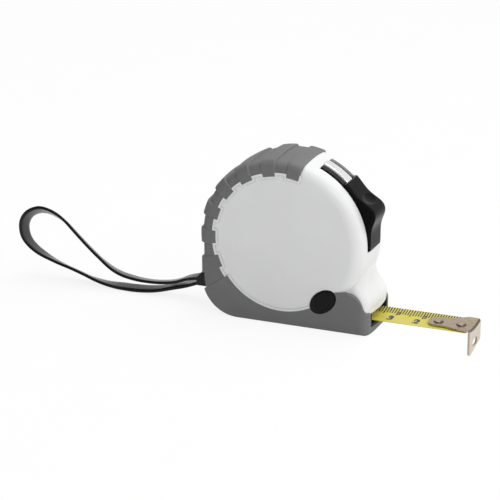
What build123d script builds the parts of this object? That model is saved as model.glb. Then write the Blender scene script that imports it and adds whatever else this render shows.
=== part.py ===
from build123d import *
import math
import os

# Frame: X points the way the blade leaves, Y points away from the printed face, Z is up.
# The origin lies on the base, under the reel axis. All sizes are in millimetres.

# Case
case_thickness = 25.0
case_radius = 31.6
reel_height = 31.0
crown_radius = 60.0
shoulder = 4.5
face_wall = 2.0
split_half = case_thickness / 2
cavity_half = split_half - face_wall
chamber_radius = case_radius - 4.0

# Nose over the blade's mouth
nose_reach = case_radius + 2.65
nose_floor = 7.5
nose_half = split_half - 0.5
nose_rise = 16.0
nose_swell = 3.85
nose_narrowing = 3.4
nose_bow = 1.5
nose_corner = 2.5
nose_top_corner = 7.0
nose_levels = [
    (0.0, 0.01, 0.0),
    (0.22, 0.0, 0.03),
    (0.34, 0.13, 0.12),
    (0.47, 0.43, 0.24),
    (0.59, 0.69, 0.41),
    (0.75, 0.84, 0.65),
    (1.0, 1.0, 1.0),
]

# Rubber grip and its raised blocks
grip_radius = case_radius - 0.4
grip_setback = 0.8
grip_crown = 110.0
grip_wall = 1.3
grip_side = 1.0
grip_shoulder = 3.0
block_rise = 0.8
block_side_rise = 0.35
block_count = 7
block_first = 80.0
block_pitch = 20.2
block_width = 10.5
block_rounding = 0.4
block_inner = 25.7
gap_inner = 27.1
base_start = 215.0
base_rear = case_radius - 0.2
base_front = nose_reach + 0.25
base_bow = 1.3
base_corner = 3.2
base_rounding = 0.8
base_side_rise = 0.25
heel_radius = 14.0
toe_radius = 0.8
wave_start = -38.5
lip_width = 0.8
lip_rise = 0.3
lip_root = 0.5

# Blade, as it leaves the mouth
blade_chord = 14.5
blade_sag = 0.9
blade_gauge = 0.18
blade_low = 4.0
blade_tail = 12.2
blade_tip = 68.9
blade_half = blade_chord / 2
channel_floor = blade_low - 0.8
channel_top = nose_floor
channel_rear = -25.5
channel_half = blade_half + 0.6

# Mouth bumper
bumper_back = base_front - 2.6
bumper_inset = 0.2
bumper_half = channel_half + 1.2
bumper_low = channel_floor - 0.9

# End hook and its rivets
hook_gauge = 0.7
hook_face = blade_tip + 1.6
hook_rear = 52.8
hook_neck_half = 4.1
hook_flare_half = 6.7
hook_neck_end = 60.0
hook_flare_end = 66.0
hook_low = -4.6
lip_slant = 2.6
hook_bend = 1.0
lip_corner = 1.3
hook_float = 0.5
hook_gap = 0.15
lip_slot_length = 5.6
lip_slot_width = 2.6
lip_slot_height = -0.8
rivet_places = (56.6, 65.2)
rivet_radius = 1.3
rivet_head = 1.6
rivet_head_height = 0.5
slot_clearance = 0.1

# Reel
flange_radius = chamber_radius - 2.8
coil_radius = flange_radius - 3.3
coil_half = blade_half + 0.15
flange_gauge = 0.8
flange_gap = 0.15
hub_radius = 15.5
hub_wall = 1.2
post_radius = 3.0
post_seat = 1.2
post_boss = 5.0
running_gap = 0.08
reel_end_gap = 0.15
spring_first = 4.2
spring_turns = 6
spring_gauge = 0.4
spring_clearance = 0.1
spring_half = coil_half - 0.6

# Lock on the front arc
slot_start = -2.0
slot_end = 66.4
slot_half = 6.4
slide_gap = 0.3
lock_low = -1.5
lock_high = 47.8
lock_travel = 17.0
rail_half = 4.6
rail_outer = case_radius - 0.4
rail_gauge = 1.3
rail_tab = 4.0
rail_tab_gauge = 0.6
trim_gauge = 1.0
trim_half = 2.6
trim_start = 28.2
trim_rounding = 0.9
saddle_gap = 0.2
tail_end = 10.5
thumb_rounding = 1.0
thumb_base = case_radius - 0.2
rest_share = 0.32
rest_radius = 6.0
rest_half = 4.4
rest_depth = 0.5
yoke_inner = chamber_radius + 0.3
yoke_gauge = 1.1
yoke_start = 4.0
yoke_end = 42.0
tongue_half = 4.0
tongue_end = -57.0
pad_gap = 0.6
pad_length = 3.0
pad_room_gap = 1.0
thumb_height = 4.6
thumb_shares = [
    (lock_high - 1.5, 0.32),
    (42, 0.3),
    (36, 0.33),
    (30.5, 0.57),
    (26.5, 0.86),
    (23.8, 1.0),
    (21.5, 1.02),
    (19.3, 0.93),
    (17.2, 0.76),
    (15, 0.55),
    (12.5, 0.37),
    (7.5, 0.2),
    (lock_low, 0.11),
]

# Oval side button
button_x = 16.5
button_z = reel_height - 20.0
button_tilt = 40.0
button_long = 5.6
button_short = 3.6
button_proud = 0.9
button_dome = 24.0
button_rim = 0.9
button_dish = 0.3
button_gap = 0.3
button_wall = 1.4
button_travel = 1.0
button_flange = 0.6
button_flange_gauge = 0.6
plunger_radius = 2.2
pad_gauge = 0.4
retainer_gauge = 0.4
retainer_long = 8.2
retainer_short = 3.8
retainer_peg = 0.7
washer_gauge = 0.25
washer_width = 1.0

# Fasteners
screw_radius = 0.9
screw_head = 1.5
screw_head_height = 1.2
screw_head_seat = 6.0
screw_end = 8.5
screw_boss = 2.2
screw_clearance = 0.15
cross_width = 0.5
cross_depth = 0.6
nose_screw = (27.6, 11.2)
heel_screw = (-27.0, 14.9)
top_screw_radius = 27.2
top_screw_angle = 118.0

# Belt clip on the far side
clip_width = 13.0
clip_gauge = 0.8
clip_top = reel_height + case_radius - 9.6
clip_jog = clip_top - 10.0
clip_jog_drop = 3.0
clip_stand = 3.0
clip_low = 16.5
clip_grip = 1.6
clip_flare = 2.0
clip_flare_drop = 4.5
clip_bend = 1.2
clip_screw_z = clip_top - 4.5
clip_screw_radius = 1.3
clip_screw_head = 2.8
clip_screw_head_height = 1.2
clip_screw_depth = 3.2
clip_boss = 2.8

# Strap anchor, pin and wrist strap
anchor_half = 3.8
anchor_end = 37.6
anchor_head = 26.4
anchor_neck = 28.2
anchor_low = 7.0
anchor_high = 11.6
anchor_lug = 0.5
anchor_flare = 1.6
anchor_slope = 2.7
pin_x = -27.5
pin_z = (anchor_low + anchor_high) / 2
pin_radius = 0.9
pin_half = 7.5
strap_width = 7.0
strap_gauge = 1.1
strap_run_share = 0.45
strap_route = [
    (-36.8, 9.4),
    (-45.5, 7.2),
    (-54.5, 5.4),
    (-63.0, 4.4),
    (-70.5, 4.6),
    (-76.5, 6.8),
    (-83.5, 12.0),
    (-91.0, 18.3),
    (-97.5, 23.9),
    (-104.5, 27.3),
    (-111.0, 24.0),
    (-113.2, 18.5),
    (-110.0, 13.6),
    (-103.0, 9.5),
    (-94.0, 6.0),
    (-84.0, 3.4),
    (-73.5, 2.3),
    (-63.0, 2.3),
    (-54.5, 3.2),
    (-45.5, 5.2),
    (-36.8, 8.0),
]

# Sizes that follow from the ones above
spring_room = hub_radius - hub_wall - spring_clearance - spring_gauge - spring_first
spring_pitch = spring_room / spring_turns
trim_outer = rail_outer + trim_gauge
rail_inner = rail_outer - rail_gauge
rail_tab_outer = rail_inner + rail_tab_gauge
yoke_outer = yoke_inner + yoke_gauge
channel_outer = yoke_outer + slide_gap
slider_half = slot_half - slide_gap
saddle_half = rail_half + slide_gap
core_half = split_half - grip_side
flange_inner = coil_half + flange_gap
flange_outer = flange_inner + flange_gauge
reel_room = flange_outer + reel_end_gap
pad_low = blade_low + pad_gap
button_floor = split_half - button_wall
flange_face = -button_floor + button_gap
washer_low = flange_face + button_flange_gauge
brake_face = flange_outer + button_travel + running_gap
plunger_end = brake_face + pad_gauge
retainer_inner = flange_outer + 0.25
retainer_outer = retainer_inner + retainer_gauge
retainer_reach = button_long + button_flange + button_gap + retainer_peg
tilt_x = math.cos(math.radians(button_tilt))
tilt_z = math.sin(math.radians(button_tilt))

across = (0, 1, 0)
reel_axis = Axis((0, 0, reel_height), across)


def polar(radius, degrees):
    """A point at a radius and an angle about the reel axis, in the middle plane."""
    turn = math.radians(degrees)
    return (radius * math.cos(turn), 0, reel_height + radius * math.sin(turn))


def flat(points):
    """A face in the middle plane from (x, z) corners."""
    return make_face(Polyline([(x, 0, z) for x, z in points], close=True))


def sector(inner, outer, start, end):
    """A ring sector face about the reel axis."""
    middle = (start + end) / 2
    outside = ThreePointArc(polar(outer, start), polar(outer, middle), polar(outer, end))
    inside = ThreePointArc(polar(inner, end), polar(inner, middle), polar(inner, start))
    closing = [Line(outside @ 1, inside @ 0), Line(inside @ 1, outside @ 0)]
    return make_face([outside, inside] + closing)


def prism(face, low, high):
    """A face of the middle plane, drawn out along Y from low to high."""
    return extrude(Pos(0, low, 0) * face, amount=high - low, dir=across)


def slab(face, half):
    """A face of the middle plane, drawn out the same way to both sides."""
    return prism(face, -half, half)


def rod(x, z, radius, low, high):
    """A cylinder along Y."""
    return Pos(x, (low + high) / 2, z) * Rot(90, 0, 0) * Cylinder(radius, high - low)


def block(x_low, x_high, half, z_low, z_high):
    """A box that is centred on the middle plane."""
    middle = Pos((x_low + x_high) / 2, 0, (z_low + z_high) / 2)
    return middle * Box(x_high - x_low, 2 * half, z_high - z_low)


def crowned_disc(radius, half, rounding, crown):
    """A disc about the reel axis, crowned across its rim and rounded at its shoulders."""
    drop = crown - math.sqrt(crown**2 - half**2)
    rim = ThreePointArc(
        (radius - drop, -half, reel_height),
        (radius, 0, reel_height),
        (radius - drop, half, reel_height),
    )
    spine = [(0, half, reel_height), (0, -half, reel_height)]
    outline = Polyline([rim @ 1] + spine + [rim @ 0])
    profile = make_face([rim, outline])
    corners = [v for v in profile.vertices() if v.X > 1]
    return revolve(fillet(corners, rounding), reel_axis)


def front_plan(front, half, bow, corner, height):
    """A level face with a bowed front and rounded front corners, at a height."""
    arc = ThreePointArc((front - bow, -half, 0), (front, 0, 0), (front - bow, half, 0))
    back = Polyline([arc @ 1, (0, half, 0), (0, -half, 0), arc @ 0])
    plan = make_face([arc, back])
    corners = [v for v in plan.vertices() if v.X > 1]
    return Pos(0, 0, height) * fillet(corners, corner)


def base_front_plan(inset, half):
    """A tall solid with the base's front, smaller by inset."""
    plan = front_plan(base_front - inset, half, base_bow, base_corner, 0)
    return extrude(plan, amount=reel_height, dir=(0, 0, 1))


def nose_solid():
    """The white nose, a bell that swells forward from the front arc over the mouth."""
    cuts = []
    for rise, setback, narrowing in nose_levels:
        front = nose_reach - setback * nose_swell
        half = nose_half - narrowing * nose_narrowing
        corner = nose_corner + narrowing * (nose_top_corner - nose_corner)
        bow = nose_bow * (half / nose_half) ** 2
        cuts.append(front_plan(front, half, bow, corner, nose_floor + rise * nose_rise))
    return loft(cuts)


def base_solid(inset, half, rounding):
    """The flat foot below the reel, from the heel to the toe."""
    rear = -base_rear + inset
    front = base_front - inset
    outline = flat(
        [
            (rear, reel_height),
            (rear, inset),
            (front, inset),
            (front, 1.5 * nose_floor),
            (0.75 * front, 2.5 * nose_floor),
            (0, reel_height),
        ]
    )
    heel = [v for v in outline.vertices() if v.X < 0 and v.Z < inset + 0.1]
    outline = fillet(heel, heel_radius - inset)
    toe = [v for v in outline.vertices() if v.X > front - 0.1 and v.Z < inset + 0.1]
    outline = fillet(toe, toe_radius)
    solid = slab(outline, half)
    rims = [e for e in solid.edges() if abs(abs(e.center().Y) - half) < 0.01]
    solid = fillet(rims, rounding)
    rear_part = block(2 * rear, 1, half, inset, reel_height)
    return solid & (base_front_plan(inset, half) + rear_part)


def block_angles():
    """The middle of each raised grip block, from the top to the heel."""
    return [block_first + block_pitch * i for i in range(block_count)]


def lug_rims(lug, angle):
    """The edges of a raised block where its two flanks meet its outer skin."""
    middle = Vector(polar(1, angle)) - Vector(0, 0, reel_height)
    rims = []
    for edge in lug.edges():
        place = edge.center() - Vector(0, 0, reel_height)
        inward = abs(place.cross(middle).Y) < 0.25 * block_width * math.pi / 180 * place.length
        deep = place.dot(middle) < block_inner + 0.1
        if not inward and not deep:
            rims.append(edge)
    return rims


def wave_points():
    """The edge of the grip on the side face, from the button to the front."""
    return [
        polar(block_inner, wave_start),
        (button_x + 7.3, 0, button_z + 4.6),
        (button_x + 9.6, 0, button_z + 4.4),
        (base_front - 5.2, 0, button_z + 3.0),
        (base_front - 3.3, 0, nose_floor + 4.2),
        (base_front - 2.3, 0, nose_floor + 1.9),
        (base_front - 1.3, 0, nose_floor + 0.6),
        (base_front, 0, nose_floor),
    ]


def grip_zone():
    """The region that the grip covers, drawn out through the whole case."""
    reach = 3 * case_radius
    deep = case_thickness
    start = block_first - block_width / 2
    zone = slab(sector(gap_inner, reach, start, base_start), deep)
    for angle in block_angles():
        wedge = sector(block_inner, reach, angle - block_width / 2, angle + block_width / 2)
        zone += slab(wedge, deep)
    face_arc = ThreePointArc(
        polar(block_inner, base_start - 360),
        polar(block_inner, -90),
        wave_points()[0],
    )
    wave = Spline(*wave_points())
    far_heel = polar(reach, base_start)
    front = wave @ 1
    around = Polyline(
        [
            front,
            (reach, 0, nose_floor),
            (reach, 0, -reach),
            (far_heel[0], 0, -reach),
            far_heel,
            face_arc @ 0,
        ]
    )
    over_mouth = block(bumper_back, reach, bumper_half, nose_floor, 2 * nose_floor)
    return zone + slab(make_face([face_arc, wave, around]), deep) - over_mouth


def face_lip(zone):
    """The fine raised line on both faces along the edge of the grip."""
    start = block_first - block_width / 2
    margin = math.degrees(lip_width / block_inner)
    line = sector(gap_inner - lip_width, gap_inner + lip_width, start - margin, base_start)
    bead = slab(line, split_half + lip_rise)
    for angle in block_angles():
        half = block_width / 2 + margin
        ring = sector(block_inner - lip_width, gap_inner, angle - half, angle + half)
        bead += slab(ring, split_half + lip_rise)
    foot = sector(block_inner - lip_width, gap_inner, base_start - 360, wave_start)
    bead += slab(foot, split_half + lip_rise)
    reach = 2 * case_radius
    return bead - zone - block(-reach, reach, split_half - lip_root, -reach, 2 * reach)


def ellipse_rod(long, short, low, high):
    """An oval prism about the side button's axis."""
    plane = Plane(origin=(button_x, low, button_z), x_dir=(tilt_x, 0, tilt_z), z_dir=across)
    return extrude(plane * Ellipse(long, short), amount=high - low, dir=across)


def oval(extra, low, high):
    """An oval prism about the side button's axis, larger than the button by extra."""
    return ellipse_rod(button_long + extra, button_short + extra, low, high)


def camber(low_gap, gauge, half, x_low, x_high):
    """A strip along X with the blade's hollow, low_gap above the blade's upper face."""
    curve = (blade_chord**2 / 4 + blade_sag**2) / (2 * blade_sag)
    centre = blade_low + curve

    def arc(radius):
        rise = centre - math.sqrt(radius**2 - half**2)
        ends = [(x_low, side * half, rise) for side in (-1, 1)]
        return ThreePointArc(ends[0], (x_low, 0, centre - radius), ends[1])

    under = arc(curve - low_gap)
    over = arc(curve - low_gap - gauge)
    sides = [Line(under @ 0, over @ 0), Line(under @ 1, over @ 1)]
    return extrude(make_face([under, over] + sides), amount=x_high - x_low, dir=(1, 0, 0))


def screw_places():
    """Where the three case screws stand, as (x, z)."""
    top = polar(top_screw_radius, top_screw_angle)
    return [nose_screw, heel_screw, (top[0], top[2])]


def cross_recess(x, z, head, top):
    """The cross slot of a screw whose head ends at top."""
    low = cross_width / 2
    arms = block(x - head, x + head, 2 * case_thickness, z - low, z + low)
    arms += block(x - low, x + low, 2 * case_thickness, z - head, z + head)
    return rod(x, z, 0.7 * head, top - cross_depth, top + 1) & arms


def strap_radii():
    """The bend radius at each inner point of the strap, as large as its runs allow."""
    radii = []
    for before, here, after in zip(strap_route, strap_route[1:], strap_route[2:]):
        coming = Vector(here[0] - before[0], 0, here[1] - before[1])
        going = Vector(after[0] - here[0], 0, after[1] - here[1])
        half_turn = math.radians(coming.get_angle(going) / 2)
        radii.append(strap_run_share * min(coming.length, going.length) / math.tan(half_turn))
    return radii


# Strap anchor, pin and strap
anchor_profile = flat(
    [
        (-anchor_head, anchor_low - anchor_lug),
        (-anchor_neck, anchor_low - anchor_lug),
        (-anchor_neck, anchor_low),
        (-anchor_end, anchor_low),
        (-anchor_end, anchor_high - anchor_flare),
        (-anchor_end + anchor_slope, anchor_high + anchor_flare),
        (-base_rear, anchor_high + anchor_flare),
        (-base_rear, anchor_high),
        (-anchor_neck, anchor_high),
        (-anchor_neck, anchor_high + anchor_lug),
        (-anchor_head, anchor_high + anchor_lug),
    ]
)
strap_pin = rod(pin_x, pin_z, pin_radius, -pin_half, pin_half)
anchor_whole = slab(anchor_profile, anchor_half)
strap_anchor = anchor_whole - strap_pin

strap_bends = strap_radii()
print("strap bend radii", [round(r, 1) for r in strap_bends])
strap_path = FilletPolyline([(x, 0, z) for x, z in strap_route], radius=strap_bends)
strap_section = Plane(origin=strap_path @ 0, x_dir=across, z_dir=strap_path % 0)
wrist_strap = sweep(strap_section * Rectangle(strap_width, strap_gauge), strap_path)
strap_volume = strap_width * strap_gauge * strap_path.length
print("strap length", round(strap_path.length, 1), "volume", wrist_strap.volume, strap_volume)
wrist_strap -= anchor_whole

# Outer shapes of the shells and the grip
zone = grip_zone()
core = crowned_disc(case_radius - grip_wall, core_half, grip_shoulder, crown_radius)
core += base_solid(grip_wall, core_half, grip_shoulder)
white = crowned_disc(case_radius, split_half, shoulder, crown_radius) + nose_solid()
outer = core + (white - zone) + face_lip(zone)

back = Pos(-grip_setback, 0, 0)
grip = back * crowned_disc(grip_radius, split_half, grip_shoulder, grip_crown)
above_foot = slab(sector(1, 2 * case_radius, block_first, base_start), case_thickness)
grip += base_solid(0, split_half, grip_shoulder) & above_foot
grip += base_solid(0, split_half + base_side_rise, base_rounding) - above_foot
grip = grip & zone
block_half = split_half + block_side_rise
round_skin = back * crowned_disc(grip_radius + block_rise, block_half, grip_shoulder, grip_crown)
heel_skin = round_skin + base_solid(-block_rise, block_half, grip_shoulder)
for angle in block_angles():
    wedge = sector(block_inner, 2 * case_radius, angle - block_width / 2, angle + block_width / 2)
    skin = heel_skin if angle == block_angles()[-1] else round_skin
    lug = skin & slab(wedge, case_thickness)
    grip += fillet(lug_rims(lug, angle), block_rounding)
above_floor = block(-3 * case_radius, 3 * case_radius, case_thickness, 0, 3 * case_radius)
grip = (grip & above_floor) - outer

# What is cut out of the shells
mouth = block(bumper_back - 2, 2 * base_front, channel_half, channel_floor, nose_floor)
bumper_seat = block(bumper_back, 2 * base_front, bumper_half, bumper_low, nose_floor)
inside = rod(0, reel_height, chamber_radius, -cavity_half, cavity_half)
inside += block(channel_rear, bumper_back, channel_half, channel_floor, channel_top)
inside += slab(sector(chamber_radius - 1, 2 * case_radius, slot_start, slot_end), slot_half)
tongue_room = sector(chamber_radius - 1, channel_outer, tongue_end - 4, slot_start + 1)
inside += slab(tongue_room, tongue_half + slide_gap)
pad_tip = polar(yoke_outer, tongue_end)
pad_front = pad_tip[0]
pad_back = pad_front - pad_length
pad_sweep = math.hypot(pad_front, reel_height - pad_low) + pad_room_gap
pad_swing = sector(chamber_radius - 1, pad_sweep, tongue_end - 8, tongue_end + lock_travel + 4)
pad_room = slab(pad_swing, tongue_half + slide_gap)
inside += pad_room & block(0, nose_reach, case_thickness, channel_floor, reel_height)
tab_room = sector(chamber_radius - 1, rail_tab_outer, slot_start - rail_tab, slot_end + rail_tab)
inside += slab(tab_room, rail_half)
room_long = retainer_long + button_gap
room_short = button_short + button_flange + button_gap
inside += ellipse_rod(room_long, room_short, -button_floor, -retainer_inner)
inside += rod(button_x, button_z, plunger_radius + button_gap, -button_floor, -flange_inner)

bosses = rod(0, reel_height, post_boss, -cavity_half, -reel_room)
bosses += rod(0, reel_height, post_boss, reel_room, cavity_half)
bosses += rod(0, clip_screw_z, clip_boss, split_half - clip_screw_depth - cross_depth, cavity_half)
for x, z in screw_places():
    bosses += rod(x, z, screw_boss, -core_half, core_half) & core

holes = rod(0, reel_height, post_radius, -cavity_half - post_seat, cavity_half + post_seat)
holes += rod(0, clip_screw_z, clip_screw_radius, split_half - clip_screw_depth, 2 * split_half)
for x, z in screw_places():
    holes += rod(x, z, screw_radius, -screw_end, 0)
    holes += rod(x, z, screw_radius + screw_clearance, 0, screw_head_seat)
    holes += rod(x, z, screw_head + screw_clearance, screw_head_seat, 2 * split_half)
button_hole = oval(button_gap, -2 * split_half, -button_floor)

case = outer - inside - mouth - bumper_seat + bosses - holes - button_hole
case -= anchor_whole + strap_pin
near_side = Pos(0, -case_thickness, 0) * Box(8 * case_radius, 2 * case_thickness, 8 * case_radius)
far_side = Pos(0, case_thickness, 0) * Box(8 * case_radius, 2 * case_thickness, 8 * case_radius)
near_shell = case & near_side
far_shell = case & far_side
rubber_grip = grip - bumper_seat - anchor_whole - button_hole

# Mouth bumper
bumper_block = block(bumper_back, base_front, bumper_half, bumper_low, nose_floor)
mouth_bumper = (bumper_block & base_front_plan(bumper_inset, bumper_half + base_corner)) - mouth

# Reel
bore = rod(0, reel_height, post_radius + running_gap, -case_thickness, case_thickness)
hub = rod(0, reel_height, hub_radius, -flange_inner, flange_inner)
hub -= rod(0, reel_height, hub_radius - hub_wall, -flange_inner, flange_inner)
reel_drum = hub + rod(0, reel_height, flange_radius, flange_inner, flange_outer) - bore
reel_cover = rod(0, reel_height, flange_radius, -flange_outer, -flange_inner) - bore
tape_coil = rod(0, reel_height, coil_radius, -coil_half, coil_half)
tape_coil -= rod(0, reel_height, hub_radius, -coil_half, coil_half)
centre_post = rod(0, reel_height, post_radius, -cavity_half - post_seat, cavity_half + post_seat)


def spiral(start):
    """Half turns that each lie a half pitch further out, from a start radius."""
    arcs = []
    left = start
    for i in range(2 * spring_turns):
        side = 1 if i % 2 == 0 else -1
        right = left + spring_pitch / 2
        top = (right + left) / 2
        middle = side * (left - right) / 2
        arcs.append(
            ThreePointArc(
                (side * left, 0, reel_height),
                (middle, 0, reel_height + side * top),
                (-side * right, 0, reel_height),
            )
        )
        left = right
    return arcs


inner_turns = spiral(spring_first)
outer_turns = spiral(spring_first + spring_gauge)
spring_ends = [
    Line(inner_turns[0] @ 0, outer_turns[0] @ 0),
    Line(inner_turns[-1] @ 1, outer_turns[-1] @ 1),
]
power_spring = slab(make_face(inner_turns + outer_turns + spring_ends), spring_half)
print("power spring gap", spring_pitch - spring_gauge)

# Blade, hook and rivets
tape_blade = camber(-blade_gauge, blade_gauge, blade_chord / 2, blade_tail, blade_tip)
hook_end = ThreePointArc(
    (hook_rear + hook_neck_half, hook_neck_half, 0),
    (hook_rear, 0, 0),
    (hook_rear + hook_neck_half, -hook_neck_half, 0),
)
hook_sides = Polyline(
    [
        hook_end @ 1,
        (hook_neck_end, -hook_neck_half, 0),
        (hook_flare_end, -hook_flare_half, 0),
        (hook_face, -hook_flare_half, 0),
        (hook_face, hook_flare_half, 0),
        (hook_flare_end, hook_flare_half, 0),
        (hook_neck_end, hook_neck_half, 0),
        hook_end @ 0,
    ]
)
hook_plan = extrude(make_face([hook_end, hook_sides]), amount=reel_height, dir=(0, 0, 1))
hook_plate = camber(hook_gap, hook_gauge, hook_flare_half, hook_rear - 1, hook_face) & hook_plan
lip_outline = Polyline(
    [
        (hook_face - hook_gauge, -hook_flare_half, hook_low),
        (hook_face - hook_gauge, hook_flare_half, hook_low + lip_slant),
        (hook_face - hook_gauge, hook_flare_half, 2 * nose_floor),
        (hook_face - hook_gauge, -hook_flare_half, 2 * nose_floor),
    ],
    close=True,
)
lip_block = extrude(make_face(lip_outline), amount=hook_gauge, dir=(1, 0, 0))
above = camber(hook_gap + hook_gauge, 2 * nose_floor, hook_flare_half + 1, hook_rear, 2 * hook_face)
end_hook = hook_plate + (lip_block - above)
hook_brow = [
    e
    for e in end_hook.edges()
    if abs(e.center().X - hook_face) < 0.01 and e.center().Z > blade_low
]
end_hook = fillet(hook_brow, hook_bend)
lip_corners = [
    e
    for e in end_hook.edges()
    if abs(abs(e.center().Y) - hook_flare_half) < 0.01 and e.center().Z < hook_low + lip_slant + 0.01
]
end_hook = fillet(lip_corners, lip_corner)
slot_plane = Plane(origin=(hook_face - 2, 0, lip_slot_height), x_dir=across, z_dir=(1, 0, 0))
end_hook -= extrude(slot_plane * SlotOverall(lip_slot_length, lip_slot_width), amount=4)
for x in rivet_places:
    long_slot = SlotOverall(
        2 * (rivet_radius + hook_float + slot_clearance), 2 * (rivet_radius + slot_clearance)
    )
    end_hook -= extrude(Pos(x, 0, 0) * long_slot, amount=2 * nose_floor)

rivet_seat = blade_low + hook_gap + hook_gauge + hook_gap
hook_rivets = []
for x in rivet_places:
    shank_low = blade_low - blade_gauge - rivet_head_height
    shank = Pos(x, 0, (shank_low + rivet_seat) / 2) * Cylinder(rivet_radius, rivet_seat - shank_low)
    foot = Pos(x, 0, shank_low + rivet_head_height / 2) * Cylinder(rivet_head, rivet_head_height)
    head = Pos(x, 0, rivet_seat + rivet_head_height / 2) * Cylinder(rivet_head, rivet_head_height)
    head = fillet(head.edges().filter_by(GeomType.CIRCLE).sort_by(Axis.Z)[-1], 0.8 * rivet_head_height)
    tape_blade -= shank
    hook_rivets.append(shank + head + (foot - tape_blade))
hook_rivets = Compound(children=[piece.solid() for piece in hook_rivets])

# Lock rail, trim, slider and tongue
lock_track = slab(sector(rail_inner, rail_outer, slot_start, slot_end), rail_half)
tabs = sector(rail_inner, rail_tab_outer, slot_start - rail_tab, slot_end + rail_tab)
lock_track += slab(tabs, rail_half)
track_trim = slab(sector(rail_outer, trim_outer, trim_start, slot_end - 0.3), trim_half)
trim_arcs = track_trim.edges().filter_by(GeomType.CIRCLE)
track_trim = fillet([e for e in trim_arcs if e.radius > rail_outer + trim_gauge / 2], trim_rounding)

thumb = Spline(*[polar(thumb_base + share * thumb_height, angle) for angle, share in thumb_shares])
skirt = ThreePointArc(
    polar(yoke_outer, lock_low),
    polar(yoke_outer, (lock_low + lock_high) / 2),
    polar(yoke_outer, lock_high),
)
brow = Polyline([skirt @ 1, polar(thumb_base, lock_high), thumb @ 0])
slider_face = make_face([thumb, Line(thumb @ 1, skirt @ 0), skirt, brow])
lock_slider = slab(slider_face, slider_half)
thumb_edges = [
    e
    for e in lock_slider.edges()
    if abs(abs(e.center().Y) - slider_half) < 0.01 and e.geom_type == GeomType.BSPLINE
]
lock_slider = fillet(thumb_edges, thumb_rounding)
lock_slider -= slab(sector(hub_radius, rail_outer + saddle_gap, lock_low - 5, lock_high + 5), saddle_half)
trim_room = sector(rail_inner, trim_outer + saddle_gap, tail_end, lock_high + 5)
lock_slider -= slab(trim_room, trim_half + slide_gap)
rest_along = thumb % rest_share
rest_out = Vector(-rest_along.Z, 0, rest_along.X)
rest_side = rest_radius - rest_depth
rest_centre = thumb @ rest_share + rest_out * rest_side
rest_arc = ThreePointArc(
    rest_centre + Vector(rest_side, -rest_half, 0),
    rest_centre + Vector(rest_radius, 0, 0),
    rest_centre + Vector(rest_side, rest_half, 0),
)
rest_side = Vector(0, rest_half, 0)
rest_back = [rest_arc @ 1, rest_centre + rest_side, rest_centre - rest_side, rest_arc @ 0]
lock_slider -= revolve(make_face([rest_arc, Polyline(rest_back)]), Axis(rest_centre, across))

lock_tongue = slab(sector(yoke_inner, yoke_outer, yoke_start, yoke_end), slider_half)
lock_tongue += slab(sector(yoke_inner, yoke_outer, tongue_end, yoke_start + 1), tongue_half)
pad_high = polar(yoke_inner, tongue_end)[2]
lock_pad = block(pad_back, pad_front, tongue_half, pad_low, pad_high) - lock_tongue

# Side button with its pad, spring washer and retainer
dome_top = -split_half - button_proud
dome = Pos(button_x, dome_top + button_dome, button_z) * Sphere(button_dome)
side_button = oval(0, dome_top - 1, flange_face) & dome
side_button -= oval(-button_rim, dome_top - 1, dome_top + button_dish)
side_button += oval(button_flange, flange_face, flange_face + button_flange_gauge)
side_button += rod(button_x, button_z, plunger_radius, flange_face, -plunger_end)
brake_pad = rod(button_x, button_z, plunger_radius, -plunger_end, -brake_face)
button_retainer = ellipse_rod(retainer_long, retainer_short, -retainer_outer, -retainer_inner)
button_retainer -= rod(button_x, button_z, plunger_radius + button_gap, -split_half, 0)
for side in (-1, 1):
    peg_x = button_x + side * retainer_reach * tilt_x
    peg_z = button_z + side * retainer_reach * tilt_z
    button_retainer += rod(peg_x, peg_z, retainer_peg, -button_floor, -retainer_outer)
washer_in = button_x + plunger_radius + button_gap
washer = Polyline(
    [
        (washer_in + washer_width, washer_low, button_z),
        (washer_in + washer_width, washer_low + washer_gauge, button_z),
        (washer_in + washer_gauge, -retainer_outer, button_z),
        (washer_in, -retainer_outer, button_z),
        (washer_in, -retainer_outer - washer_gauge, button_z),
    ],
    close=True,
)
button_spring = revolve(make_face(washer), Axis((button_x, 0, button_z), across))

# Screws and belt clip
case_screws = []
for x, z in screw_places():
    shank = rod(x, z, screw_radius, -screw_end, screw_head_seat)
    head = rod(x, z, screw_head, screw_head_seat, screw_head_seat + screw_head_height)
    drive = cross_recess(x, z, screw_head, screw_head_seat + screw_head_height)
    case_screws.append(shank + head - drive)
case_screws = Compound(children=[screw.solid() for screw in case_screws])

clip_y = split_half + clip_gauge / 2
clip_path = FilletPolyline(
    [
        (0, clip_y, clip_top),
        (0, clip_y, clip_jog),
        (0, clip_y + clip_stand, clip_jog - clip_jog_drop),
        (0, clip_y + clip_grip, clip_low),
        (0, clip_y + clip_grip + clip_flare, clip_low - clip_flare_drop),
    ],
    radius=clip_bend,
)
clip_section = Plane(origin=clip_path @ 0, x_dir=(1, 0, 0), z_dir=clip_path % 0)
belt_clip = sweep(clip_section * Rectangle(clip_width, clip_gauge), clip_path)
belt_clip -= rod(0, clip_screw_z, clip_screw_radius, 0, 2 * case_thickness)
clip_seat = split_half + clip_gauge
clip_screw = rod(0, clip_screw_z, clip_screw_radius, split_half - clip_screw_depth, clip_seat)
clip_head = rod(0, clip_screw_z, clip_screw_head, clip_seat, clip_seat + clip_screw_head_height)
clip_head = fillet(clip_head.edges().sort_by(Axis.Y)[-1], clip_screw_head_height / 2)
clip_drive = cross_recess(0, clip_screw_z, clip_screw_head, clip_seat + clip_screw_head_height)
clip_screw += clip_head - clip_drive

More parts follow.
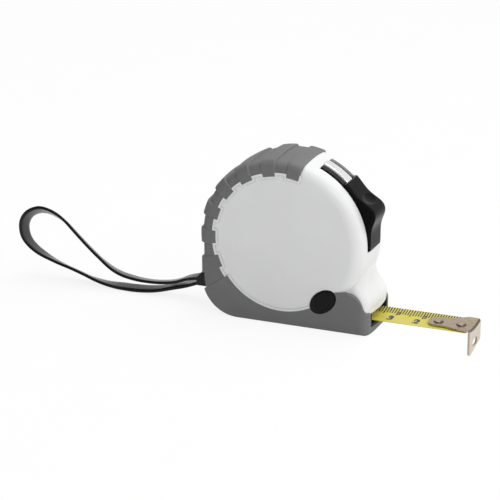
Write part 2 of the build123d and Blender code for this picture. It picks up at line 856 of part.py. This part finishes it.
nodes = {
    "near_shell": near_shell,
    "far_shell": far_shell,
    "rubber_grip": rubber_grip,
    "mouth_bumper": mouth_bumper,
    "lock_track": lock_track,
    "track_trim": track_trim,
    "lock_slider": lock_slider,
    "lock_tongue": lock_tongue,
    "lock_pad": lock_pad,
    "side_button": side_button,
    "brake_pad": brake_pad,
    "button_spring": button_spring,
    "button_retainer": button_retainer,
    "reel_drum": reel_drum,
    "reel_cover": reel_cover,
    "power_spring": power_spring,
    "centre_post": centre_post,
    "tape_coil": tape_coil,
    "tape_blade": tape_blade,
    "end_hook": end_hook,
    "hook_rivets": hook_rivets,
    "case_screws": case_screws,
    "belt_clip": belt_clip,
    "clip_screw": clip_screw,
    "strap_anchor": strap_anchor,
    "strap_pin": strap_pin,
    "wrist_strap": wrist_strap,
}

os.makedirs("parts", exist_ok=True)
for name, piece in nodes.items():
    export_step(piece, os.path.join("parts", name + ".step"))
    print(name, len(piece.solids()), round(piece.volume, 1))
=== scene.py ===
# %% [markdown]
# # A pocket tape measure
# The object is a round white case with a grey rubber jacket, a thumb lock on its front arc and a yellow
# steel blade that ends in a hook. The solids come from the CAD model, so this lesson does not draw the
# case again. It gives every piece its finish, lays the wrist strap as cloth, prints the blade and sets
# up the picture. Everything is in metres, in the same frame as the CAD: X runs along the blade, Y goes
# from the near face to the far face, and Z is up from the base.

# %% Load the solids
import math

import bmesh
import bpy
from mathutils import Matrix, Vector


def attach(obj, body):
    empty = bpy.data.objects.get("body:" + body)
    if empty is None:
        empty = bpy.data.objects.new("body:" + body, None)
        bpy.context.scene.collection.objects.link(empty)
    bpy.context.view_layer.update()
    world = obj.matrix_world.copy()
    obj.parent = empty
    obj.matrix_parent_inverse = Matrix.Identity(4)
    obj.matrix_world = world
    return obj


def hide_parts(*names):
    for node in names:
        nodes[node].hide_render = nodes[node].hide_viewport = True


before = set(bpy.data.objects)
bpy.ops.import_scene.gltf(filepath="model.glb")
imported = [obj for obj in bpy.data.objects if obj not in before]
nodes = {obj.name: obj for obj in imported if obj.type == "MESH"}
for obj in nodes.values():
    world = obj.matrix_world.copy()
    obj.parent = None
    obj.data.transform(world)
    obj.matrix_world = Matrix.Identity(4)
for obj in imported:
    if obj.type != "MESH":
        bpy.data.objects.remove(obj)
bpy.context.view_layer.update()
scene = bpy.context.scene
mm = 0.001
print("pieces loaded:", len(nodes))

# %% [markdown]
# ## Camera
# The camera was fitted to the blade's ticks, the round face and the base line, so the render can be laid
# over the picture. It is a long lens from far away, which is why the sides hardly converge. Turning a
# camera is easiest as three plain turns: round the upright axis, up from the floor, and a small roll.

# %% Camera
camera_place = (0.285501, -0.722104, 0.300599)
camera_azimuth = math.radians(22.751)
camera_elevation = math.radians(19.558)
camera_roll = math.radians(-0.203)
camera_lens = 161.036
camera_sensor = 36
camera_reach = 20
camera_data = bpy.data.cameras.new("photo_camera")
camera_data.sensor_width = camera_sensor
camera_data.lens = camera_lens
camera_data.clip_end = camera_reach
camera = bpy.data.objects.new("photo_camera", camera_data)
scene.collection.objects.link(camera)
turn = Matrix.Rotation(camera_azimuth, 4, "Z")
turn = turn @ Matrix.Rotation(math.pi / 2 - camera_elevation, 4, "X")
turn = turn @ Matrix.Rotation(camera_roll, 4, "Z")
camera.matrix_world = Matrix.Translation(camera_place) @ turn
scene.camera = camera
print("camera at", [round(c, 3) for c in camera.location], "lens", camera_data.lens)

# %% [markdown]
# ## Wrist strap, its line
# The strap is a flat woven band that leaves the anchor, rises into a loop and comes back along the table.
# A NURBS spline through a few control points gives a line that bends as cloth does, without corners.
# The curve has no thickness here: it is only turned into points, and the band is built on them.

# %% Strap line
strap_width = 7.0 * mm
strap_gauge = 1.1 * mm
strap_steps = 10
strap_order = 3
strap_route = [
    (-36.8, 9.4), (-42.0, 8.4), (-47.5, 5.7), (-54.0, 4.5), (-60.5, 4.2), (-66.5, 4.7), (-72.5, 6.1),
    (-77.5, 9.0), (-84.0, 14.3), (-90.2, 20.1), (-94.6, 24.3), (-99.0, 26.6), (-103.6, 27.6),
    (-108.0, 26.3), (-111.2, 23.3), (-112.3, 19.2), (-111.4, 15.0), (-108.4, 11.6), (-103.4, 8.7),
    (-97.0, 6.2), (-90.0, 4.3), (-84.0, 2.3), (-77.5, 0.9), (-70.5, 0.6), (-62.5, 0.65), (-55.0, 1.6),
    (-47.5, 3.9), (-41.5, 5.6), (-36.8, 7.7),
]
line_data = bpy.data.curves.new("strap_line", "CURVE")
line_data.dimensions = "3D"
line_data.resolution_u = strap_steps
spline = line_data.splines.new("NURBS")
spline.points.add(len(strap_route) - 1)
for point, (x, z) in zip(spline.points, strap_route):
    point.co = (x * mm, 0, z * mm, 1)
spline.use_endpoint_u = True
spline.order_u = strap_order
line_object = bpy.data.objects.new("strap_line", line_data)
scene.collection.objects.link(line_object)
bpy.context.view_layer.update()
line_mesh = bpy.data.meshes.new_from_object(line_object)
strap_points = [v.co.copy() for v in line_mesh.vertices]
strap_runs = [(b - a).length for a, b in zip(strap_points, strap_points[1:])]
strap_length = sum(strap_runs)
bpy.data.objects.remove(line_object)
print("strap points:", len(strap_points), "length in mm:", round(strap_length / mm, 1))

# %% [markdown]
# ## Wrist strap, its band
# A real strap twists as it goes round, so some stretches show their edge and others their flat side.
# The band starts as the line itself. Extruding its edges gives a strip, and each pair of points is set to
# both sides of the line, turned by a twist that is given in degrees at a few shares of the length. Three
# cuts along the strip keep its faces nearly flat where it twists, and Solidify gives the cloth its
# thickness.

# %% Strap band
strap_cuts = 3
selvedge_rounding = 0.25 * mm
strap_twists = [
    (0.0, -2), (0.05, -5), (0.08, -11), (0.13, -15), (0.19, -16), (0.26, -28), (0.35, -30), (0.41, -34),
    (0.44, -33), (0.47, -22), (0.51, -1), (0.55, 11), (0.59, 15), (0.62, 22), (0.66, 26), (0.71, 26),
    (0.75, 16), (0.79, 5), (0.83, 2), (1.0, 2),
]


def twist_at(share):
    """The twist in radians at a share of the strap's length."""
    for (low, first), (high, last) in zip(strap_twists, strap_twists[1:]):
        if share <= high:
            return math.radians(first + (last - first) * (share - low) / (high - low))
    return math.radians(strap_twists[-1][1])


def nearest_point(vertex):
    """The number of the strap point that a vertex lies on."""
    return min(range(len(strap_points)), key=lambda i: (strap_points[i] - vertex.co).length)


band = bmesh.new()
band.from_mesh(line_mesh)
near_row = list(band.verts)
made = bmesh.ops.extrude_edge_only(band, edges=band.edges[:])
far_row = [v for v in made["geom"] if isinstance(v, bmesh.types.BMVert)]
far_row.sort(key=nearest_point)
uv_place = {}
walked = 0.0
for i, (near, far) in enumerate(zip(near_row, far_row)):
    before = strap_points[max(i - 1, 0)]
    after = strap_points[min(i + 1, len(strap_points) - 1)]
    along = (after - before).normalized()
    outward = Vector((0, 1, 0)).cross(along)
    twist = twist_at(walked / strap_length)
    side = Vector((0, math.cos(twist), 0)) + outward * math.sin(twist)
    near.co = strap_points[i] - side * strap_width / 2
    far.co = strap_points[i] + side * strap_width / 2
    uv_place[near] = (walked, 0.0)
    uv_place[far] = (walked, strap_width)
    if i < len(strap_runs):
        walked += strap_runs[i]
uv_layer = band.loops.layers.uv.new("band")
for face in band.faces:
    for loop in face.loops:
        loop[uv_layer].uv = [c / strap_width for c in uv_place[loop.vert]]
rungs = [e for e in band.edges if len({v in far_row for v in e.verts}) == 2]
bmesh.ops.subdivide_edges(band, edges=rungs, cuts=strap_cuts, use_grid_fill=True)
bmesh.ops.recalc_face_normals(band, faces=band.faces[:])
strap_mesh = bpy.data.meshes.new("wrist_strap_cloth")
band.to_mesh(strap_mesh)
band.free()
for polygon in strap_mesh.polygons:
    polygon.use_smooth = True
strap = bpy.data.objects.new("wrist_strap_cloth", strap_mesh)
scene.collection.objects.link(strap)
thick = strap.modifiers.new("gauge", "SOLIDIFY")
thick.thickness = strap_gauge
thick.offset = 0
rounded = strap.modifiers.new("selvedge", "BEVEL")
rounded.width = selvedge_rounding
rounded.segments = 2
rounded.limit_method = "ANGLE"
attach(strap, "case")
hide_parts("wrist_strap")
print("strap faces:", len(strap_mesh.polygons))

# %% [markdown]
# ## A small kit for finishes
# Every finish below is a Principled shader with a few texture nodes in front of it. The textures read
# Object coordinates, which are metres here, so a grain of half a millimetre is a scale of about 2000.
# These helpers only shorten the wiring: they make a material, add a node and set its sockets, mix two
# colours, make a bump, and put the results on the shader.


# %% Finish helpers
def new_finish(name):
    """A material with a Principled shader, and its node tree."""
    finish = bpy.data.materials.new(name)
    finish.use_nodes = True
    tree = finish.node_tree
    return finish, tree, tree.nodes["Principled BSDF"]


def add(tree, kind, inputs=None, **settings):
    """A node with its settings, and its sockets linked or set to plain values."""
    node = tree.nodes.new(kind)
    for key, value in settings.items():
        setattr(node, key, value)
    for key, value in (inputs or {}).items():
        if isinstance(value, bpy.types.NodeSocket):
            tree.links.new(value, node.inputs[key])
        else:
            node.inputs[key].default_value = value
    return node


def place_on(tree, scale=(1, 1, 1)):
    """Object coordinates, stretched by a scale for each axis."""
    where = add(tree, "ShaderNodeTexCoord")
    mapped = add(tree, "ShaderNodeMapping", {"Vector": where.outputs["Object"], "Scale": scale})
    return mapped.outputs["Vector"]


def facing(tree):
    """The X, Y and Z of the way the true surface faces."""
    true = add(tree, "ShaderNodeNewGeometry").outputs["True Normal"]
    return add(tree, "ShaderNodeSeparateXYZ", {"Vector": true}).outputs


def noise(tree, where, scale, detail=3.0, roughness=0.55):
    """A noise texture's value."""
    sockets = {"Vector": where, "Scale": scale, "Detail": detail, "Roughness": roughness}
    return add(tree, "ShaderNodeTexNoise", sockets).outputs["Fac"]


def spread(tree, value, low, high, from_low=0.3, from_high=0.7):
    """A value mapped from one range to another."""
    sockets = {"Value": value, "From Min": from_low, "From Max": from_high, "To Min": low, "To Max": high}
    return add(tree, "ShaderNodeMapRange", sockets).outputs["Result"]


def tint(tree, value, dark, light, low=0.3, high=0.7):
    """A colour between a dark and a light one, as a value goes from low to high."""
    ramp = add(tree, "ShaderNodeValToRGB", {"Fac": value})
    for element, place, colour in zip(ramp.color_ramp.elements, (low, high), (dark, light)):
        element.position = place
        element.color = (*colour, 1)
    return ramp.outputs["Color"]


def blend(tree, share, colour, other):
    """A colour that gives way to a plain one by a share."""
    sockets = {0: share, 6: colour, 7: (*other, 1)}
    return add(tree, "ShaderNodeMix", sockets, data_type="RGBA").outputs[2]


def calc(tree, operation, first, second=0.5, third=0.5):
    """One Math node's result."""
    node = add(tree, "ShaderNodeMath", {0: first, 1: second, 2: third}, operation=operation)
    return node.outputs[0]


def soft_normal(tree, radius):
    """The surface normal with sharp edges softened over a radius."""
    return add(tree, "ShaderNodeBevel", {"Radius": radius}, samples=6).outputs["Normal"]


def bump(tree, height, strength, distance, edge=None):
    """A bump from a height, over a softened edge where one is given."""
    sockets = {"Height": height, "Strength": strength, "Distance": distance}
    if edge:
        sockets["Normal"] = soft_normal(tree, edge)
    return add(tree, "ShaderNodeBump", sockets).outputs["Normal"]


def dress(tree, shader, colour, roughness, normal=None):
    """Puts a colour, a roughness and a normal on a shader."""
    tree.links.new(colour, shader.inputs["Base Color"])
    tree.links.new(roughness, shader.inputs["Roughness"])
    if normal:
        tree.links.new(normal, shader.inputs["Normal"])


def wear(finish, *names):
    """Puts a finish on CAD nodes."""
    for name in names:
        nodes[name].data.materials.clear()
        nodes[name].data.materials.append(finish)
    print(finish.name, "on", ", ".join(names))


# %% [markdown]
# ## White case
# The shells are moulded in a satin white plastic. Such a surface is not even: a fine spark texture breaks
# the highlights, and the tone drifts a little. Two noises do that, one fine for the bump and one broad for
# the colour. The Bevel node softens the sharp CAD edges where light would catch them. White on white hides
# small steps, so the narrow corners get a painted shade: the Ambient Occlusion node darkens them towards
# grey.

# %% White plastic
crease_reach = 0.7 * mm
crease_share = 0.45
# The grey of the painted shade in narrow corners.
crease_shade_grey = (0.3, 0.3, 0.3)
white, tree, shader = new_finish("satin_white_plastic")
where = place_on(tree)
drift = noise(tree, where, 60.0)
grain = noise(tree, where, 5200.0, 2.0)
clean = tint(tree, drift, (0.81, 0.812, 0.818), (0.84, 0.842, 0.848))
openness = add(tree, "ShaderNodeAmbientOcclusion", {"Distance": crease_reach}, samples=8).outputs["AO"]
# Painted shade: the colour goes towards grey where the AO node finds the surface closed in.
crease_shaded = blend(tree, spread(tree, openness, crease_share, 0.0, 0.45, 0.95), clean, crease_shade_grey)
dress(tree, shader, crease_shaded, spread(tree, grain, 0.36, 0.46), bump(tree, grain, 0.12, 0.04 * mm, 0.25 * mm))
wear(white, "near_shell", "far_shell")

# %% [markdown]
# ## Grey rubber
# The jacket is soft rubber moulded over the shells. It is matt, with a fine spark-eroded grain and slightly
# paler edges, a painted highlight where light would catch them. The edges are found with the Bevel node:
# where the softened normal leaves the true one, the surface is at an edge.


# %% Rubber
def rub_mask(tree, radius):
    """Near 1 at edges, where a painted highlight goes, and 0 on open faces."""
    true = add(tree, "ShaderNodeNewGeometry").outputs["True Normal"]
    sockets = {0: soft_normal(tree, radius), 1: true}
    sameness = add(tree, "ShaderNodeVectorMath", sockets, operation="DOT_PRODUCT")
    return spread(tree, sameness.outputs["Value"], 1.0, 0.0, 0.86, 1.0)


rubber, tree, shader = new_finish("grey_moulded_rubber")
where = place_on(tree)
drift = noise(tree, where, 90.0)
grain = noise(tree, where, 3400.0, 2.0)
base = tint(tree, drift, (0.147, 0.148, 0.15), (0.165, 0.166, 0.168))
# Painted highlight: a paler grey along the edges of the rubber.
edge_highlight_share = spread(tree, rub_mask(tree, 0.6 * mm), 0.0, 0.5, 0.0, 1.0)
edge_highlighted = blend(tree, edge_highlight_share, base, (0.26, 0.262, 0.27))
dress(tree, shader, edge_highlighted, spread(tree, grain, 0.5, 0.66), bump(tree, grain, 0.3, 0.06 * mm, 0.4 * mm))
wear(rubber, "rubber_grip")

# %% [markdown]
# ## Plain plastics
# The lock slider and the side button are glossy black, the bumper, rail and anchor are matt black, and the
# pads and the reel inside have plain finishes of their own. The same recipe serves them all: a broad noise
# moves the roughness as finger marks do, and a fine one gives the grain. The slider's edges are painted
# paler, a painted highlight where light would catch them.

# %% Plain plastics
jet_black = (0.004, 0.004, 0.0043)
soft_black = (0.014, 0.014, 0.015)
pad_black = (0.045, 0.045, 0.045)
reel_grey = (0.5, 0.51, 0.53)
# The grey of the painted highlight on the slider's edges.
rim_highlight_grey = (0.1, 0.1, 0.102)
mark_depth = 0.8


def plastic(name, tone, rough, grain_strength, gloss, rim=None):
    """A plastic with finger marks in its gloss, and a painted highlight as a paler rim of a given width
    where one is asked for.
    """
    finish, tree, shader = new_finish(name)
    where = place_on(tree)
    marks = noise(tree, where, 260.0, 4.0)
    grain = noise(tree, where, 4200.0, 2.0)
    colour = tint(tree, marks, [mark_depth * c for c in tone], tone)
    if rim:
        # Painted highlight: the edges go towards a paler grey.
        colour = blend(tree, spread(tree, rub_mask(tree, rim), 0.0, 0.6, 0.0, 1.0), colour, rim_highlight_grey)
    roughness = spread(tree, marks, *rough)
    dress(tree, shader, colour, roughness, bump(tree, grain, grain_strength, 0.04 * mm, 0.3 * mm))
    shader.inputs["Specular IOR Level"].default_value = gloss
    return finish


wear(plastic("gloss_black_plastic", jet_black, (0.12, 0.2), 0.06, 0.04, 0.5 * mm), "lock_slider")
wear(plastic("deep_black_plastic", jet_black, (0.16, 0.24), 0.06, 0.13), "side_button")
matt_black = plastic("matt_black_plastic", soft_black, (0.42, 0.6), 0.25, 0.25)
wear(matt_black, "mouth_bumper", "lock_track", "lock_tongue", "button_retainer", "strap_anchor")
wear(plastic("black_pad_rubber", pad_black, (0.7, 0.85), 0.4, 0.4), "lock_pad", "brake_pad")
wear(plastic("grey_reel_plastic", reel_grey, (0.4, 0.5), 0.15, 0.5), "reel_drum", "reel_cover")

# %% [markdown]
# ## Metals
# Steel shows the way it was worked. A noise that is stretched along one axis makes brush lines, and it
# drives both the roughness and a shallow bump. The hook is warmer and speckled, because its plating is thin
# and gets scratched on every edge it is pulled from. Its lip, which faces the front, gets a painted light,
# and its fold a painted shade in dark brown. Both are found by the way the surface faces.


# %% Metals
def brushed(name, dark, light, rough, stretch):
    """A brushed metal with lines along its longest stretch, and its colour."""
    finish, tree, shader = new_finish(name)
    lines = noise(tree, place_on(tree, stretch), 1.0, 4.0, 0.65)
    specks = noise(tree, place_on(tree), 2600.0, 3.0, 0.7)
    colour = tint(tree, calc(tree, "MULTIPLY_ADD", lines, specks, 0.25), dark, light, 0.35)
    dress(tree, shader, colour, spread(tree, lines, *rough), bump(tree, lines, 0.1, 0.03 * mm, 0.2 * mm))
    shader.inputs["Metallic"].default_value = 1.0
    return finish, colour


steel, _ = brushed("bare_steel", (0.42, 0.42, 0.43), (0.62, 0.62, 0.63), (0.25, 0.42), (900, 6000, 900))
wear(steel, "button_spring", "power_spring", "centre_post", "case_screws", "strap_pin", "clip_screw")
wear(steel, "belt_clip")
warm_dark = (0.33, 0.255, 0.175)
warm_light = (0.62, 0.52, 0.41)
plate, colour = brushed("plated_hook_steel", warm_dark, warm_light, (0.26, 0.42), (700, 5200, 5200))
wear(plate, "end_hook", "hook_rivets")
tree = plate.node_tree
way = facing(tree)
# Painted light: the lip, which faces along X, is painted paler.
lip = spread(tree, way["X"], 0.0, 0.7, 0.75, 0.98)
lip_painted_light = blend(tree, lip, colour, (0.74, 0.65, 0.57))
# Painted shade: the fold, which faces both forward and up, is painted dark brown.
fold = spread(tree, calc(tree, "MULTIPLY", way["X"], way["Z"]), 0.0, 0.85, 0.12, 0.4)
fold_painted_shade = blend(tree, fold, lip_painted_light, (0.07, 0.055, 0.04))
tree.links.new(fold_painted_shade, tree.nodes["Principled BSDF"].inputs["Base Color"])
bright_dark = (0.74, 0.74, 0.76)
bright_light = (0.86, 0.86, 0.88)
chrome, _ = brushed("bright_plated_strip", bright_dark, bright_light, (0.12, 0.2), (300, 2500, 300))
wear(chrome, "track_trim")

# %% [markdown]
# ## Yellow blade with its ticks
# The blade is lacquered yellow and printed in black with a millimetre scale that starts at the hook. The
# ticks are part of the finish: the distance to the hook is folded into one millimetre, and a tick is where
# that fold is near zero. Every fifth and tenth tick reaches further in from the far edge, so the same sum
# is done for 1, 5 and 10 mm. Only the upper face is printed.

# %% Blade print
scale_zero = 69.6 * mm
tick_half = 0.22 * mm
far_edge = 7.25 * mm
tick_reaches = ((1 * mm, 3.9 * mm), (5 * mm, 4.8 * mm), (10 * mm, 5.3 * mm))


def ticks(tree, from_hook, from_far_edge, step, reach):
    """1 on the ticks of one step, 0 elsewhere."""
    fold = calc(tree, "PINGPONG", from_hook, step / 2)
    on_line = calc(tree, "LESS_THAN", fold, tick_half)
    in_reach = calc(tree, "LESS_THAN", from_far_edge, reach)
    return calc(tree, "MULTIPLY", on_line, in_reach)


lacquer, tree, shader = new_finish("yellow_blade_lacquer")
where = place_on(tree)
spot = add(tree, "ShaderNodeSeparateXYZ", {"Vector": where}).outputs
from_hook = calc(tree, "SUBTRACT", scale_zero, spot["X"])
from_far_edge = calc(tree, "SUBTRACT", far_edge, spot["Y"])
printed = 0.0
for step, reach in tick_reaches:
    printed = calc(tree, "MAXIMUM", printed, ticks(tree, from_hook, from_far_edge, step, reach))
upper = calc(tree, "GREATER_THAN", facing(tree)["Z"], 0.5)
printed = calc(tree, "MULTIPLY", printed, upper)
drift = noise(tree, where, 140.0)
specks = noise(tree, where, 3000.0, 3.0)
yellow = tint(tree, drift, (0.63, 0.56, 0.085), (0.69, 0.62, 0.105))
inked = blend(tree, printed, yellow, (0.02, 0.02, 0.018))
dress(tree, shader, inked, spread(tree, specks, 0.34, 0.44), bump(tree, specks, 0.06, 0.03 * mm))
shader.inputs["Specular IOR Level"].default_value = 0.3
wear(lacquer, "tape_blade", "tape_coil")

# %% [markdown]
# ## Blade numerals
# The centimetres carry plain numbers: a large one near the blade's near edge and a small one at the end of
# the tick. They are made as text, turned into a flat mesh, cut across into narrow strips so that they can
# bend, and laid on the hollow of the blade a hair above the lacquer.

# %% Numerals
camber_radius = 29.65 * mm
camber_centre = 33.65 * mm
ink_lift = 0.012 * mm
ink_weight = 0.055
large_size = 6.0 * mm
large_place = (-1.0 * mm, -1.5 * mm)
large_stretch = 0.8
small_size = 2.8 * mm
small_place = (0.8 * mm, 3.5 * mm)
last_number = 5
strip_width = 0.5 * mm
strips_a_side = 14


def numeral(word, size, x, y, stretch=1.0):
    """A number as a flat mesh, read from the near side, centred on a place of the blade."""
    text_data = bpy.data.curves.new("numeral", "FONT")
    text_data.body = word
    text_data.size = size
    text_data.align_x = "CENTER"
    text_data.align_y = "CENTER"
    text_data.offset = ink_weight * size
    text_object = bpy.data.objects.new("numeral", text_data)
    scene.collection.objects.link(text_object)
    bpy.context.view_layer.update()
    mesh = bpy.data.meshes.new_from_object(text_object)
    bpy.data.objects.remove(text_object)
    mesh.transform(Matrix.Translation((x, y, 0)) @ Matrix.Diagonal((stretch, 1, 1, 1)))
    return mesh


numerals = bmesh.new()
for centimetre in range(1, last_number + 1):
    word = str(centimetre)
    tick_x = scale_zero - centimetre * 10 * mm
    numerals.from_mesh(numeral(word, large_size, tick_x + large_place[0], large_place[1], large_stretch))
    numerals.from_mesh(numeral(word, small_size, tick_x + small_place[0], small_place[1]))
for step in range(-strips_a_side, strips_a_side + 1):
    cut = (0, step * strip_width, 0)
    geometry = numerals.verts[:] + numerals.edges[:] + numerals.faces[:]
    bmesh.ops.bisect_plane(numerals, geom=geometry, dist=1e-7, plane_co=cut, plane_no=(0, 1, 0))
for vertex in numerals.verts:
    vertex.co.z = camber_centre - math.sqrt(camber_radius**2 - vertex.co.y**2) + ink_lift
numeral_mesh = bpy.data.meshes.new("blade_numerals")
numerals.to_mesh(numeral_mesh)
numerals.free()
blade_numerals = bpy.data.objects.new("blade_numerals", numeral_mesh)
scene.collection.objects.link(blade_numerals)
ink, tree, shader = new_finish("black_print_ink")
cover = noise(tree, place_on(tree), 2500.0, 3.0)
ink_tone = tint(tree, cover, (0.014, 0.014, 0.013), (0.028, 0.027, 0.024))
dress(tree, shader, ink_tone, spread(tree, cover, 0.36, 0.5))
blade_numerals.data.materials.append(ink)
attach(blade_numerals, "blade")
print("numeral faces:", len(numeral_mesh.polygons))

# %% [markdown]
# ## Strap cloth
# The strap is a tight black weave. Its UV map runs along the band in strap widths, so two waves on it, one
# along and one across, make the over and under of the threads. The height of that weave drives the bump,
# and the thread tops are a little paler.

# %% Strap weave
threads_in_a_width = (9, 12, 1)
weave, tree, shader = new_finish("black_woven_strap")
band_uv = add(tree, "ShaderNodeUVMap", uv_map="band").outputs["UV"]
threads = add(tree, "ShaderNodeMapping", {"Vector": band_uv, "Scale": threads_in_a_width}).outputs[0]
warp = add(tree, "ShaderNodeTexWave", {"Vector": threads, "Scale": 1.0}, bands_direction="X")
weft = add(tree, "ShaderNodeTexWave", {"Vector": threads, "Scale": 1.0}, bands_direction="Y")
cloth = calc(tree, "MULTIPLY", warp.outputs["Fac"], weft.outputs["Fac"])
fuzz = noise(tree, place_on(tree), 3000.0, 3.0)
height = calc(tree, "MULTIPLY_ADD", fuzz, 0.4, cloth)
cloth_tone = tint(tree, height, (0.003, 0.003, 0.003), (0.012, 0.012, 0.0125), 0.2, 0.9)
dress(tree, shader, cloth_tone, spread(tree, fuzz, 0.2, 0.3), bump(tree, height, 0.15, 0.04 * mm))
shader.inputs["Specular IOR Level"].default_value = 0.24
strap.data.materials.append(weave)
print("weave on", strap.name)

# %% [markdown]
# ## Table
# The tape lies at the edge of a pale table, so that its hook can hang past the front. The table is white
# paper. Most of what the camera and the shiny pieces see of it is a plain white, and the rest is the lit
# paper itself, so that the shadow under the case stays on it.

# %% Table
table_edge = 34.5 * mm
table_reach = 3.0
glow_level = 1.02
glow_share = 0.85
table = bmesh.new()
bmesh.ops.create_grid(table, x_segments=1, y_segments=1, size=table_reach)
for vertex in table.verts:
    vertex.co.x = min(vertex.co.x, table_edge)
table_mesh = bpy.data.meshes.new("table_top")
table.to_mesh(table_mesh)
table.free()
table_top = bpy.data.objects.new("table_top", table_mesh)
scene.collection.objects.link(table_top)
paper, tree, shader = new_finish("white_table_paper")
fibre = noise(tree, place_on(tree), 40.0)
tree.links.new(tint(tree, fibre, (0.8, 0.8, 0.8), (0.83, 0.83, 0.83)), shader.inputs["Base Color"])
shader.inputs["Roughness"].default_value = 0.8
glow = add(tree, "ShaderNodeEmission", {"Color": (1, 1, 1, 1), "Strength": glow_level})
path = add(tree, "ShaderNodeLightPath").outputs
seen = calc(tree, "MAXIMUM", path["Is Camera Ray"], path["Is Glossy Ray"])
seen = calc(tree, "MAXIMUM", seen, path["Is Transmission Ray"])
share = calc(tree, "MULTIPLY", seen, glow_share)
both = add(tree, "ShaderNodeMixShader", {0: share, 1: shader.outputs[0], 2: glow.outputs[0]})
tree.links.new(both.outputs[0], tree.nodes["Material Output"].inputs["Surface"])
table_mesh.materials.append(paper)
print("table edge at", table_edge)

# %% [markdown]
# ## Studio
# A photo tent is bright above and in front of the blade, and darker towards the camera. The world carries
# that slope: its brightness is a constant plus the direction's dot product with one slope vector. Below the
# horizon it is plain white, which is the paper sweep past the table's edge. Two area lamps draw the
# highlights.

# %% World and lamps
tent_level = 0.53
tent_slope = (0.34, 0.3, 0.32)
sweep_level = 1.0
world = bpy.data.worlds.new("studio")
scene.world = world
world.use_nodes = True
tree = world.node_tree
sky = tree.nodes["Background"]
direction = add(tree, "ShaderNodeTexCoord").outputs["Generated"]
slope = add(tree, "ShaderNodeVectorMath", {0: direction, 1: tent_slope}, operation="DOT_PRODUCT")
tent = calc(tree, "ADD", slope.outputs["Value"], tent_level)
heading = add(tree, "ShaderNodeSeparateXYZ", {"Vector": direction}).outputs
below = spread(tree, heading["Z"], 1.0, 0.0, -0.06, 0.02)
level = add(tree, "ShaderNodeMix", {0: below, 2: tent, 3: sweep_level})
sky.inputs["Color"].default_value = (1, 1, 1, 1)
tree.links.new(level.outputs[0], sky.inputs["Strength"])


def lamp(name, place, target, size, power):
    """A square area lamp that looks at a target."""
    data = bpy.data.lights.new(name, "AREA")
    data.size = size
    data.energy = power
    made = bpy.data.objects.new(name, data)
    scene.collection.objects.link(made)
    made.location = place
    made.rotation_euler = (Vector(target) - Vector(place)).to_track_quat("-Z", "Y").to_euler()


case_middle = (0, 0, 30 * mm)
lamp("top_tent", (0.1, 0.15, 0.9), case_middle, 0.6, 2.4)
lamp("front_key", (0.57, -0.45, 0.6), case_middle, 0.12, 1.0)
scene.view_settings.view_transform = "Standard"
print("lamps:", len(bpy.data.lights))
